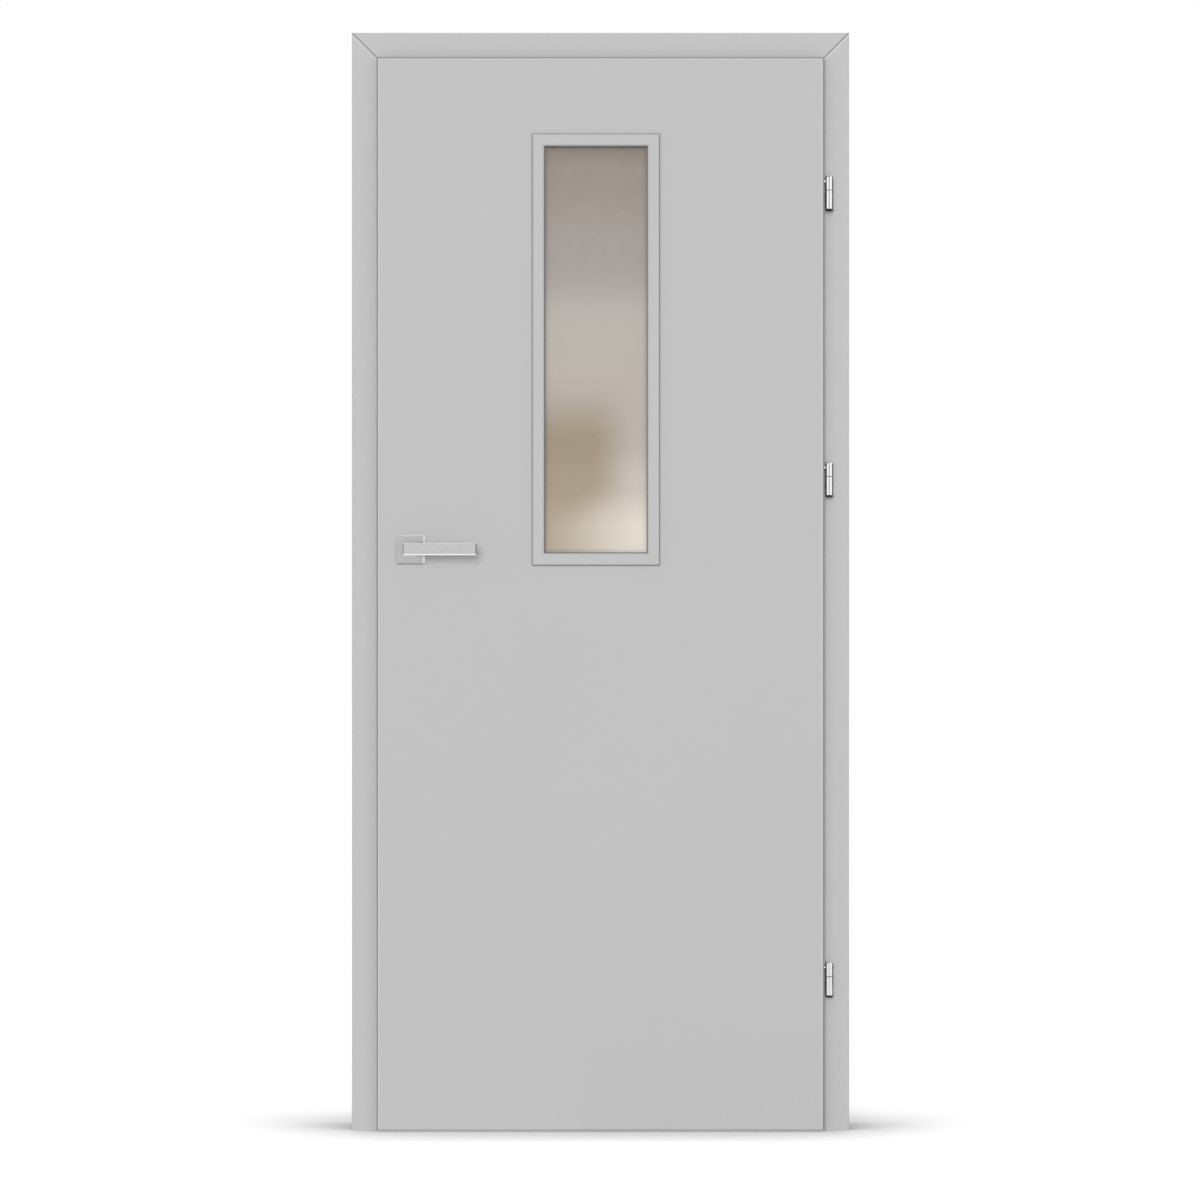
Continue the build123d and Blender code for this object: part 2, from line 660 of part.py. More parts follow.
with BuildPart() as front_lever:
    with BuildSketch(upright_at(lever_front_y)):
        with Locations((lever_x - LEVER_TAIL, lever_z)):
            Rectangle(LEVER_TAIL + LEVER_REACH, LEVER_DEPTH, align=(Align.MIN, Align.CENTER))
    extrude(amount=-LEVER_BAR_THICKNESS)
    with BuildSketch(upright_at(lever_front_y)):
        with Locations((lever_x - LEVER_TAIL, lever_z)):
            Rectangle(2 * LEVER_TAIL, LEVER_DEPTH, align=(Align.MIN, Align.CENTER))
    extrude(amount=lever_front_y - neck_back_y)
    chamfer(front_lever.faces().sort_by(Axis.Y)[0].outer_wire().edges(), length=LEVER_EDGE)
    with BuildSketch(upright_at(neck_back_y)):
        with Locations((lever_x, lever_z)):
            Circle(SPIGOT_RADIUS)
    extrude(amount=-(NECK_GAP + SPIGOT_LENGTH))
    with BuildSketch(upright_at(rose_front_y + SPIGOT_LENGTH)):
        with Locations((lever_x, lever_z)):
            Rectangle(SPINDLE_SIDE + 2 * SPINDLE_CLEARANCE, SPINDLE_SIDE + 2 * SPINDLE_CLEARANCE)
    extrude(amount=SPINDLE_SEAT, mode=Mode.SUBTRACT)
save(front_lever.part, "lever_front")

with BuildPart() as rear_lever:
    mirror(front_lever.part, about=leaf_mid_plane)
save(rear_lever.part, "lever_rear")

with BuildPart() as spindle:
    with BuildSketch(upright_at(leaf_mid_y)):
        with Locations((lever_x, lever_z)):
            Rectangle(SPINDLE_SIDE, SPINDLE_SIDE)
    extrude(amount=leaf_mid_y - rose_front_y - SPIGOT_LENGTH + SPINDLE_SEAT, both=True)
save(spindle.part, "spindle")


# Pin hinges: the lower knuckle, pin and stem stay in the frame, the upper knuckle lifts with the leaf

def frame_knuckle(hinge_z):
    """Lower knuckle with the hinge pin and the stem that is screwed into the jamb."""
    with BuildPart() as knuckle:
        with BuildSketch(Plane.XY.offset(hinge_z - FRAME_KNUCKLE_LENGTH)):
            with Locations((hinge_x, hinge_y)):
                Circle(KNUCKLE_RADIUS)
        extrude(amount=FRAME_KNUCKLE_LENGTH)
        chamfer(knuckle.edges().filter_by(GeomType.CIRCLE).sort_by(Axis.Z)[0], length=KNUCKLE_EDGE)
        with BuildSketch(Plane.XY.offset(hinge_z)):
            with Locations((hinge_x, hinge_y)):
                Circle(PIN_RADIUS)
        extrude(amount=knuckle_gap + PIN_LENGTH)
        with BuildSketch(frame_stem_plane(hinge_z)):
            Circle(STEM_RADIUS)
        extrude(amount=FRAME_STEM_LENGTH)
    return knuckle


def leaf_knuckle(hinge_z):
    """Upper knuckle, bored from below for the pin, with the stem that is screwed into the leaf."""
    bottom_z = hinge_z + knuckle_gap
    with BuildPart() as knuckle:
        with BuildSketch(Plane.XY.offset(bottom_z)):
            with Locations((hinge_x, hinge_y)):
                Circle(KNUCKLE_RADIUS)
        extrude(amount=LEAF_KNUCKLE_LENGTH)
        chamfer(knuckle.edges().filter_by(GeomType.CIRCLE).sort_by(Axis.Z)[-1], length=KNUCKLE_EDGE)
        with BuildSketch(leaf_stem_plane(hinge_z)):
            Circle(STEM_RADIUS)
        extrude(amount=LEAF_STEM_LENGTH)
        with BuildSketch(Plane.XY.offset(bottom_z)):
            with Locations((hinge_x, hinge_y)):
                Circle(PIN_RADIUS + PIN_CLEARANCE)
        extrude(amount=PIN_LENGTH + PIN_END_CLEARANCE, mode=Mode.SUBTRACT)
    return knuckle


for place, height in hinge_heights.items():
    save(frame_knuckle(height).part, f"hinge_{place}_frame_knuckle")
    save(leaf_knuckle(height).part, f"hinge_{place}_leaf_knuckle")

with BuildPart() as hinge_washers:
    for height in hinge_heights.values():
        with BuildSketch(Plane.XY.offset(height)):
            with Locations((hinge_x, hinge_y)):
                Circle(KNUCKLE_RADIUS - WASHER_INSET)
                Circle(PIN_RADIUS + PIN_CLEARANCE, mode=Mode.SUBTRACT)
        extrude(amount=WASHER_THICKNESS)
save(hinge_washers.part, "hinge_washers")
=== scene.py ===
"""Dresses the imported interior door: lacquer, frosted glass, nickel fittings and a plain white studio.

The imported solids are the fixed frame. This script gives every solid its finish, adds the small pieces
that are too fine for the solids, and sets the floor, the light and the camera.
"""

import logging
import math
from abc import ABC, abstractmethod
from dataclasses import dataclass, replace
from enum import Enum
from typing import Any, Callable

import bpy
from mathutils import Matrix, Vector

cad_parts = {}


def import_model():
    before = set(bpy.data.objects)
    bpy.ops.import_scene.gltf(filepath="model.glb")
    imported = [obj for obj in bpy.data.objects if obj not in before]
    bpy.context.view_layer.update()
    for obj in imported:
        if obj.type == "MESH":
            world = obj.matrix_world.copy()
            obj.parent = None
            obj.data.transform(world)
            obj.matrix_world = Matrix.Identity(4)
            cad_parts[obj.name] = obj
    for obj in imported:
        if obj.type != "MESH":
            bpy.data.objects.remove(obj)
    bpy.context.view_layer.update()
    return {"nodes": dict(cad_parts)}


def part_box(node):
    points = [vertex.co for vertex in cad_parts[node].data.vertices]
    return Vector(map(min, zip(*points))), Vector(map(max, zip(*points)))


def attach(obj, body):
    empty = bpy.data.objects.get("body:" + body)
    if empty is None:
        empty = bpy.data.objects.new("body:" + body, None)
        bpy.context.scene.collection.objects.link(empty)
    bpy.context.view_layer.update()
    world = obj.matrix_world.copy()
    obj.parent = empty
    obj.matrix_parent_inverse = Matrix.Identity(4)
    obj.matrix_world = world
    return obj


LOG = logging.getLogger("interior_door")

Colour = tuple[float, float, float]
Point = tuple[float, float, float]
Span = tuple[float, float]
Stops = tuple[tuple[float, Colour], ...]
Piece = bpy.types.Object
Socket = bpy.types.NodeSocket
Sockets = dict[str | int, Any]

WHITE: Colour = (1.0, 1.0, 1.0)
EVEN: Point = (1.0, 1.0, 1.0)
ALONG_Z: Point = (1.0, 1.0, 0.02)
QUARTER_TURN = math.radians(90)

# A face looks along an axis when its normal has more than this much of it
FACING = 0.9


def srgb(red: float, green: float, blue: float) -> Colour:
    """Turns a display colour into the linear one that shaders take.

    Args:
        red: red from 0 to 255.
        green: green from 0 to 255.
        blue: blue from 0 to 255.

    Returns:
        The linear colour.
    """

    def linear(value: float) -> float:
        """One channel."""
        share = value / 255.0
        return share / 12.92 if share <= 0.04045 else ((share + 0.055) / 1.055) ** 2.4

    return linear(red), linear(green), linear(blue)


def shades(colour: Colour, low: float, high: float) -> tuple[Colour, Colour]:
    """Two shades of a colour, by factors of it, none past white."""
    return tuple(tuple(min(1.0, channel * factor) for channel in colour) for factor in (low, high))


class Side(Enum):
    """The two faces of the door."""

    FRONT = -1.0
    REAR = 1.0

    def face(self, low: Vector, high: Vector) -> float:
        """The y of a box's face on this side."""
        return low.y if self is Side.FRONT else high.y


class Body(Enum):
    """The rigid bodies that pieces ride on."""

    FRAME = "frame"
    LEAF = "leaf"
    LEVERS = "levers"


# Shader building


class Wire:
    """A number socket with arithmetic: an expression on wires adds the Math nodes that it stands for."""

    def __init__(self, kit: "NodeKit", socket: Socket) -> None:
        self.kit = kit
        self.socket = socket

    def math(self, operation: str, *others: "Wire | float", flip: bool = False) -> "Wire":
        """Adds one Math node.

        Args:
            operation: the Math node's operation.
            others: what else goes into it.
            flip: puts this wire second.

        Returns:
            The node's result.
        """
        terms: list[Any] = [self, *others]
        if flip:
            terms.reverse()
        return self.kit.value("ShaderNodeMath", dict(enumerate(terms)), operation=operation)

    def __add__(self, other: "Wire | float") -> "Wire":
        """This plus other."""
        return self.math("ADD", other)

    def __radd__(self, other: float) -> "Wire":
        """Other plus this."""
        return self.math("ADD", other)

    def __sub__(self, other: "Wire | float") -> "Wire":
        """This minus other."""
        return self.math("SUBTRACT", other)

    def __rsub__(self, other: float) -> "Wire":
        """Other minus this."""
        return self.math("SUBTRACT", other, flip=True)

    def __mul__(self, other: "Wire | float") -> "Wire":
        """This times other."""
        return self.math("MULTIPLY", other)

    def __rmul__(self, other: float) -> "Wire":
        """Other times this."""
        return self.math("MULTIPLY", other)

    def clamp(self) -> "Wire":
        """This wire held between 0 and 1."""
        return self.math("MINIMUM", 1.0).math("MAXIMUM", 0.0)

    def step(self, low: "Wire | float", high: "Wire | float") -> "Wire":
        """A soft step from 0 at low to 1 at high."""
        sockets = {"Value": self, "From Min": low, "From Max": high}
        return self.kit.value("ShaderNodeMapRange", sockets, interpolation_type="SMOOTHSTEP")


class NodeKit:
    """Adds nodes to one material or world."""

    def __init__(self, owner: bpy.types.Material | bpy.types.World) -> None:
        """Empties the owner's node tree.

        Args:
            owner: what the nodes are for.
        """
        owner.use_nodes = True
        self.tree = owner.node_tree
        self.tree.nodes.clear()

    def add(
        self, kind: str, settings: dict[str, Any] | None = None, sockets: Sockets | None = None
    ) -> bpy.types.Node:
        """Adds one node.

        Args:
            kind: the node's type.
            settings: its properties; stops is a colour ramp's list of place and colour.
            sockets: a value or a link for each input, by place, identifier or name.

        Returns:
            The node.
        """
        node = self.tree.nodes.new(kind)
        for key, value in (settings or {}).items():
            if key == "stops":
                self.fill(node.color_ramp, value)
            else:
                setattr(node, key, value)
        for key, value in (sockets or {}).items():
            target = self.input(node, key)
            if isinstance(value, Wire):
                self.tree.links.new(value.socket, target)
            elif isinstance(value, Socket):
                self.tree.links.new(value, target)
            elif isinstance(value, tuple) and len(value) == 3 and target.type == "RGBA":
                target.default_value = (*value, 1.0)
            else:
                target.default_value = value
        return node

    def fill(self, ramp: bpy.types.ColorRamp, stops: Stops) -> None:
        """Sets a smooth colour ramp.

        Args:
            ramp: the ramp, as new.
            stops: place and linear colour of each stop.
        """
        while len(ramp.elements) < len(stops):
            ramp.elements.new(1.0)
        for element, (place, colour) in zip(ramp.elements, stops):
            element.position = place
            element.color = (*colour, 1.0)
        ramp.interpolation = "EASE"

    def input(self, node: bpy.types.Node, key: str | int) -> Socket:
        """Finds an input of a node by its place, identifier or name."""
        named = {socket.identifier: socket for socket in node.inputs}
        return named[key] if key in named else node.inputs[key]

    def value(self, kind: str, sockets: Sockets, output: str | int = 0, **settings: Any) -> Wire:
        """Adds a node and gives one of its outputs as a wire."""
        return Wire(self, self.add(kind, settings, sockets).outputs[output])

    def coords(self, stretch: Point = EVEN) -> Socket:
        """Object coordinates, in metres, times stretch along each axis."""
        sockets = {0: self.add("ShaderNodeTexCoord").outputs["Object"], 1: stretch}
        return self.add("ShaderNodeVectorMath", {"operation": "MULTIPLY"}, sockets).outputs[0]

    def axis(self, name: str) -> Wire:
        """One object coordinate, in metres."""
        return self.value("ShaderNodeSeparateXYZ", {0: self.coords()}, name)

    def noise(
        self, scale: float, detail: float = 2.0, stretch: Point = EVEN, roughness: float = 0.5
    ) -> Wire:
        """Soft noise on object coordinates.

        Args:
            scale: cells per metre.
            detail: octaves.
            stretch: factor along each axis, for streaks.
            roughness: weight of the finer octaves.

        Returns:
            The noise, centred on 0.5.
        """
        sockets = {"Vector": self.coords(stretch), "Scale": scale, "Detail": detail, "Roughness": roughness}
        return self.value("ShaderNodeTexNoise", sockets, "Fac")

    def ramp(self, factor: Wire, stops: Stops) -> Socket:
        """A smooth colour ramp along factor."""
        return self.add("ShaderNodeValToRGB", {"stops": stops}, {0: factor}).outputs[0]

    def blend(self, factor: Wire, first: Any, second: Any) -> Socket:
        """Mixes two colours.

        Args:
            factor: share of the second.
            first: first colour or socket.
            second: second colour or socket.

        Returns:
            The colour socket.
        """
        sockets = {"Factor_Float": factor, "A_Color": first, "B_Color": second}
        node = self.add("ShaderNodeMix", {"data_type": "RGBA"}, sockets)
        return next(socket for socket in node.outputs if socket.identifier == "Result_Color")

    def bump(self, height: Wire, distance: float) -> Socket:
        """A bump of height times distance, in metres."""
        sockets = {"Height": height, "Distance": distance, "Strength": 1.0}
        return self.add("ShaderNodeBump", {}, sockets).outputs[0]

    def glow(self, colour: Any, strength: float = 1.0) -> Socket:
        """A shader that gives off light of a colour."""
        return self.add("ShaderNodeEmission", {}, {"Color": colour, "Strength": strength}).outputs[0]

    def show(self, shader: Socket) -> None:
        """Ends a material's tree in a shader."""
        self.add("ShaderNodeOutputMaterial", {}, {"Surface": shader})

    def surface(self, **sockets: Any) -> None:
        """Ends a material's tree in a Principled shader: input names with underscores for spaces."""
        named = {key.replace("_", " "): value for key, value in sockets.items()}
        self.show(self.add("ShaderNodeBsdfPrincipled", {}, named).outputs[0])


# Finishes


class Finish(ABC):
    """A finish that can be made into a material."""

    name: str

    @abstractmethod
    def paint(self, kit: NodeKit) -> None:
        """Builds the finish's nodes.

        Args:
            kit: the material's nodes.
        """

    def material(self) -> bpy.types.Material:
        """Makes the material on first use and finds it later.

        Returns:
            The material with this finish.
        """
        label = f"{self.name}_finish"
        found = bpy.data.materials.get(label)
        if found is None:
            found = bpy.data.materials.new(label)
            self.paint(NodeKit(found))
        return found


@dataclass(frozen=True)
class Lacquer(Finish):
    """Sprayed satin lacquer: a faint orange peel, drifts of tone and gloss, and a painted highlight along
    some edges.
    """

    name: str
    colour: Colour
    roughness: float = 0.46
    cloud_scale: float = 2.3
    speck_scale: float = 260.0
    drift: float = 0.012
    tone_gain: float = 5.0
    tone_shades: Span = (0.9, 1.1)
    gloss_scale: float = 5.0
    gloss_drift: float = 0.09
    peel_scale: float = 520.0
    peel_depth: float = 0.00005
    refraction: float = 1.45
    sheen: float = 0.35
    # Painted highlight along the edges: its strength, and where it starts and ends inside them.
    rub: float = 0.3
    highlight_start: Span = (0.0011, 0.0016)
    highlight_end: Span = (0.0032, 0.0042)
    middle_x: float = 0.0
    half_width: float = 0.0
    top_z: float = 0.0

    @abstractmethod
    def edge_depth(self, kit: NodeKit) -> Wire:
        """How far a point lies inside the edges that get the painted highlight, in metres."""

    def painted_highlight(self, kit: NodeKit) -> Wire:
        """Where the painted highlight lies: 1 along the edges, 0 elsewhere."""
        depth = self.edge_depth(kit)
        return depth.step(*self.highlight_start) * (1.0 - depth.step(*self.highlight_end))

    def fitted(self, node: str) -> "Lacquer":
        """This lacquer with its painted edge highlight set by the box of a solid."""
        low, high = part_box(node)
        return replace(self, middle_x=(low.x + high.x) / 2, half_width=(high.x - low.x) / 2, top_z=high.z)

    def paint(self, kit: NodeKit) -> None:
        """Builds the finish's nodes.

        Args:
            kit: the material's nodes.
        """
        cloud = kit.noise(self.cloud_scale, detail=3.0)
        speck = kit.noise(self.speck_scale, detail=1.0)
        tone = (cloud - 0.5) * (2 * self.drift) + (speck - 0.5) * self.drift
        colour = kit.blend((tone * self.tone_gain + 0.5).clamp(), *shades(self.colour, *self.tone_shades))
        peel = kit.noise(self.peel_scale)
        kit.surface(
            # Painted highlight: the colour is mixed toward white along the edges.
            Base_Color=kit.blend(self.painted_highlight(kit) * self.rub, colour, WHITE),
            Roughness=(kit.noise(self.gloss_scale, detail=4.0) - 0.5) * self.gloss_drift + self.roughness,
            Normal=kit.bump(peel, self.peel_depth),
            IOR=self.refraction,
            Specular_IOR_Level=self.sheen,
        )


@dataclass(frozen=True)
class FrameLacquer(Lacquer):
    """The frame's lacquer, with a painted highlight on the uprights' edges along the mitres, standing for
    the light on the groove's lower flank.
    """

    def edge_depth(self, kit: NodeKit) -> Wire:
        """How far a point lies below the mitres, in metres."""
        outward = (kit.axis("X") - self.middle_x).math("ABSOLUTE")
        return (outward - self.half_width + self.top_z - kit.axis("Z")) * math.sqrt(0.5)


@dataclass(frozen=True)
class LeafLacquer(Lacquer):
    """The leaf's lacquer, with a painted highlight along the lip's rounded edge on the two sides and the
    head.
    """

    rub: float = 0.17
    highlight_start: Span = (0.0009, 0.0014)
    highlight_end: Span = (0.0026, 0.0036)

    def edge_depth(self, kit: NodeKit) -> Wire:
        """How far a point lies inside the lip's edge, in metres."""
        beside = self.half_width - (kit.axis("X") - self.middle_x).math("ABSOLUTE")
        return beside.math("MINIMUM", self.top_z - kit.axis("Z"))


@dataclass(frozen=True)
class Moulding(Finish):
    """Moulded plastic with a fine spark-eroded grain."""

    name: str
    colour: Colour
    roughness: float = 0.42
    flow_scale: float = 9.0
    flow_detail: float = 3.0
    flow_stretch: Point = (1.0, 1.0, 0.25)
    flow_shades: Span = (0.975, 1.02)
    gloss_drift: float = 0.08
    grain_scale: float = 1400.0
    grain_detail: float = 1.0
    grain_stretch: Point = EVEN
    grain_depth: float = 0.00003
    sheen: float = 0.4

    def paint(self, kit: NodeKit) -> None:
        """Builds the finish's nodes.

        Args:
            kit: the material's nodes.
        """
        grain = kit.noise(self.grain_scale, self.grain_detail, self.grain_stretch)
        flow = kit.noise(self.flow_scale, self.flow_detail, self.flow_stretch)
        kit.surface(
            Base_Color=kit.blend(flow, *shades(self.colour, *self.flow_shades)),
            Roughness=(flow - 0.5) * self.gloss_drift + self.roughness,
            Normal=kit.bump(grain, self.grain_depth),
            Specular_IOR_Level=self.sheen,
        )


@dataclass(frozen=True)
class SoftSeal(Moulding):
    """Extruded soft seal: its flow is a dusting of bloom, and its grain is faint draw lines."""

    roughness: float = 0.72
    flow_scale: float = 24.0
    flow_detail: float = 4.0
    flow_stretch: Point = EVEN
    flow_shades: Span = (0.9, 1.1)
    gloss_drift: float = 0.15
    grain_scale: float = 700.0
    grain_detail: float = 2.0
    grain_stretch: Point = ALONG_Z
    sheen: float = 0.25


@dataclass(frozen=True)
class BrushedMetal(Finish):
    """Plated metal with fine brush lines along one axis."""

    name: str
    colour: Colour
    roughness: float = 0.27
    stretch: Point = (0.02, 1.0, 1.0)
    line_scale: float = 900.0
    line_depth: float = 0.00002
    line_gloss: float = 0.14
    contrast: float = 0.06
    haze_scale: float = 38.0
    haze_gloss: float = 0.08

    def paint(self, kit: NodeKit) -> None:
        """Builds the finish's nodes.

        Args:
            kit: the material's nodes.
        """
        lines = kit.noise(self.line_scale, detail=3.0, stretch=self.stretch, roughness=0.6)
        haze = kit.noise(self.haze_scale, detail=3.0)
        kit.surface(
            Base_Color=kit.blend(lines, *shades(self.colour, 1 - self.contrast, 1 + self.contrast)),
            Metallic=1.0,
            Roughness=(lines - 0.5) * self.line_gloss + (haze - 0.5) * self.haze_gloss + self.roughness,
            Normal=kit.bump(lines, self.line_depth),
        )


@dataclass(frozen=True)
class FrostedGlass(Finish):
    """Acid-etched glass with a painted view of the room behind it, a soft blur browner at the lower left,
    and painted shade along its edges.

    The box is the pane's, hidden is how much of each edge lies behind the frame, and the shares run over
    the pane's height and width.
    """

    name: str
    low: Vector
    high: Vector
    hidden: float
    stops: Stops
    waver_scale: float = 5.0
    waver: float = 0.03
    shade: Colour = srgb(146, 127, 88)
    shade_depth: float = 0.64
    shade_end: Span = (0.27, 0.45)
    shade_side: Span = (0.45, 0.9)
    foot_end: Span = (0.04, 0.2)
    foot_spread: Span = (0.5, 0.12)
    haze: Colour = srgb(206, 199, 190)
    haze_scale: float = 70.0
    haze_share: float = 0.02
    haze_drift: float = 0.16
    # Painted shade along the pane's edges, where the frame shades it: its colour, width and depth.
    rim: Colour = srgb(40, 36, 30)
    rim_width: float = 0.011
    rim_shade_depth: float = 0.2
    etch_scale: float = 1800.0
    etch_depth: float = 0.00002
    etch_gloss: float = 0.1
    roughness: float = 0.5
    clear: float = 0.12
    refraction: float = 1.5
    sheen: float = 0.3

    def paint(self, kit: NodeKit) -> None:
        """Builds the finish's nodes.

        Args:
            kit: the material's nodes.
        """
        width, height = self.high.x - self.low.x, self.high.z - self.low.z
        up = (kit.axis("Z") - self.low.z) * (1 / height)
        across = (kit.axis("X") - self.low.x) * (1 / width)
        # The painted view through the pane: tones up its height, with a browner patch at the lower left.
        level = up + (kit.noise(self.waver_scale) - 0.5) * self.waver
        room = kit.ramp(level.clamp(), self.stops)
        foot = 1.0 - level.step(*self.foot_end)
        side_low = self.shade_side[0] - foot * self.foot_spread[0]
        side_high = foot * self.foot_spread[1] + self.shade_side[1]
        shaded = (1.0 - across.step(side_low, side_high)) * (1.0 - level.step(*self.shade_end))
        room = kit.blend(shaded * self.shade_depth, room, self.shade)
        etch = kit.noise(self.etch_scale)
        mottle = kit.noise(self.haze_scale, detail=3.0)
        room = kit.blend((mottle - 0.5) * self.haze_drift + self.haze_share, room, self.haze)
        # Painted shade: darker towards the pane's edges, close to the frame.
        side = across.math("MINIMUM", 1.0 - across) * width
        end = up.math("MINIMUM", 1.0 - up) * height
        rim = 1.0 - side.math("MINIMUM", end).step(self.hidden, self.hidden + self.rim_width)
        kit.surface(
            Base_Color=kit.blend(rim * self.rim_shade_depth, room, self.rim),
            Roughness=(etch - 0.5) * self.etch_gloss + self.roughness,
            Normal=kit.bump(etch, self.etch_depth),
            Transmission_Weight=self.clear,
            IOR=self.refraction,
            Specular_IOR_Level=self.sheen,
        )


@dataclass(frozen=True)
class Chipboard(Finish):
    """Raw chipboard: pressed flakes of several tones."""

    name: str
    pale: Colour
    dark: Colour
    roughness: float = 0.8
    flake_scale: float = 260.0
    flake_stretch: Point = (1.0, 1.0, 0.4)
    flake_share: float = 0.9
    flake_depth: float = 0.0003
    dust_scale: float = 90.0
    dust_share: float = 0.6
    dust_gloss: float = 0.1

    def paint(self, kit: NodeKit) -> None:
        """Builds the finish's nodes.

        Args:
            kit: the material's nodes.
        """
        sockets = {"Vector": kit.coords(self.flake_stretch), "Scale": self.flake_scale}
        flakes = kit.value("ShaderNodeTexVoronoi", sockets, "Distance")
        dust = kit.noise(self.dust_scale, detail=4.0)
        share = (flakes * self.flake_share + (dust - 0.5) * self.dust_share).clamp()
        kit.surface(
            Base_Color=kit.blend(share, self.pale, self.dark),
            Roughness=dust * self.dust_gloss + self.roughness,
            Normal=kit.bump(flakes, self.flake_depth),
        )


LEAF_LACQUER = LeafLacquer("leaf_lacquer", srgb(196, 196, 196))
FRAME_LACQUER = FrameLacquer("frame_lacquer", srgb(199, 199, 199), roughness=0.48)
GLAZING_MOULDING = Moulding("glazing_moulding", srgb(197, 197, 197))
HANDLE_NICKEL = BrushedMetal("handle_nickel", (0.75, 0.75, 0.75))
ROSE_NICKEL = BrushedMetal("rose_nickel", (0.67, 0.67, 0.67), stretch=ALONG_Z)
HINGE_NICKEL = BrushedMetal(
    "hinge_nickel",
    (0.8, 0.8, 0.8),
    roughness=0.13,
    stretch=(1.0, 1.0, 0.03),
    line_depth=0.000008,
    contrast=0.03,
)
LOCK_STEEL = BrushedMetal("lock_steel", (0.55, 0.55, 0.54), roughness=0.34, stretch=ALONG_Z)
SEAL_RUBBER = SoftSeal("seal_rubber", srgb(150, 150, 150))
# The pane's gaskets: grey rubber, darkened as painted shade where the frame shades the pane's edge.
GASKET_RUBBER_SHADE = SoftSeal("gasket_rubber_shade", srgb(132, 130, 128))
# The flange seals: dark grey painted shade, the shadow line round the glazing frames.
FLANGE_SEAL_SHADE = SoftSeal("flange_rubber", srgb(112, 112, 112))
HINGE_NYLON = Moulding("hinge_nylon", srgb(64, 64, 64), roughness=0.5)
# The hinges' end caps: near-black as painted shade under the knuckles.
HINGE_SHADE_CAP = Moulding("hinge_cap", srgb(28, 28, 28), roughness=0.5)
# The lip's edge band: dark grey painted shade, the shadow line round the leaf.
EDGE_BAND_SHADE = Moulding("shadow_edge_band", srgb(138, 138, 138), roughness=0.5)
BLACK_STEEL = BrushedMetal("black_steel", (0.05, 0.05, 0.05), roughness=0.42)
JOINT_FILLER = Moulding("joint_filler", srgb(150, 150, 150), roughness=0.6)
CORE_BOARD = Chipboard("core_board", srgb(214, 186, 142), srgb(150, 116, 74))


# Mesh work by operators


def deselect() -> None:
    """Goes to object mode with nothing selected."""
    if bpy.context.object and bpy.context.object.mode != "OBJECT":
        bpy.ops.object.mode_set(mode="OBJECT")
    bpy.ops.object.select_all(action="DESELECT")


def pick_faces(piece: Piece, test: Callable[[bpy.types.MeshPolygon], bool]) -> None:
    """Selects a piece's faces by a test and goes to edit mode.

    Args:
        piece: the active piece.
        test: tells whether a face is taken.
    """
    bpy.ops.object.mode_set(mode="EDIT")
    bpy.ops.mesh.select_all(action="DESELECT")
    bpy.ops.mesh.select_mode(type="FACE")
    bpy.ops.object.mode_set(mode="OBJECT")
    for face in piece.data.polygons:
        face.select = test(face)
    bpy.ops.object.mode_set(mode="EDIT")


def cylinder(name: str, radius: float, depth: float, sides: int = 24) -> Piece:
    """Adds a closed upright cylinder about the origin.

    Args:
        name: the piece's name.
        radius: its radius, in metres.
        depth: its height, in metres.
        sides: facets round it.

    Returns:
        The piece.
    """
    deselect()
    bpy.ops.mesh.primitive_cylinder_add(vertices=sides, radius=radius, depth=depth, end_fill_type="NGON")
    piece = bpy.context.object
    piece.name = name
    return piece


def aim(piece: Piece, along: Vector) -> None:
    """Turns a piece so that its z axis runs along a direction."""
    piece.rotation_mode = "QUATERNION"
    piece.rotation_quaternion = Vector((0, 0, 1)).rotation_difference(along)


def soften(piece: Piece, width: float) -> None:
    """Rounds all the edges of the active piece.

    Args:
        piece: the active piece.
        width: how far the rounding reaches from an edge, in metres.
    """
    bevel = piece.modifiers.new("round", "BEVEL")
    bevel.width = width
    bevel.segments = 2
    bpy.ops.object.modifier_apply(modifier=bevel.name)


def settle(piece: Piece, smooth_angle: float = 35.0) -> None:
    """Applies a piece's place to its mesh and shades it.

    Args:
        piece: the piece.
        smooth_angle: edges flatter than this, in degrees, are smooth.
    """
    deselect()
    piece.select_set(True)
    bpy.context.view_layer.objects.active = piece
    bpy.ops.object.transform_apply(location=True, rotation=True, scale=True)
    bpy.ops.object.shade_smooth_by_angle(angle=math.radians(smooth_angle))
    deselect()


def duplicate(piece: Piece, name: str, move: Vector) -> Piece:
    """Copies a finished piece, with a mesh of its own, to another place.

    Args:
        piece: the finished piece.
        name: the copy's name.
        move: way from the piece to the copy, in metres.

    Returns:
        The copy.
    """
    copy = piece.copy()
    copy.data = piece.data.copy()
    copy.name = name
    bpy.context.scene.collection.objects.link(copy)
    copy.location = move
    settle(copy)
    return copy


def give(piece: Piece, finish: Finish, body: Body) -> None:
    """Gives a new piece its finish and the body that it rides on.

    Args:
        piece: the piece.
        finish: its finish.
        body: the body that carries it.
    """
    piece.data.materials.clear()
    piece.data.materials.append(finish.material())
    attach(piece, body.value)
    LOG.info("piece %s on %s", piece.name, body.value)


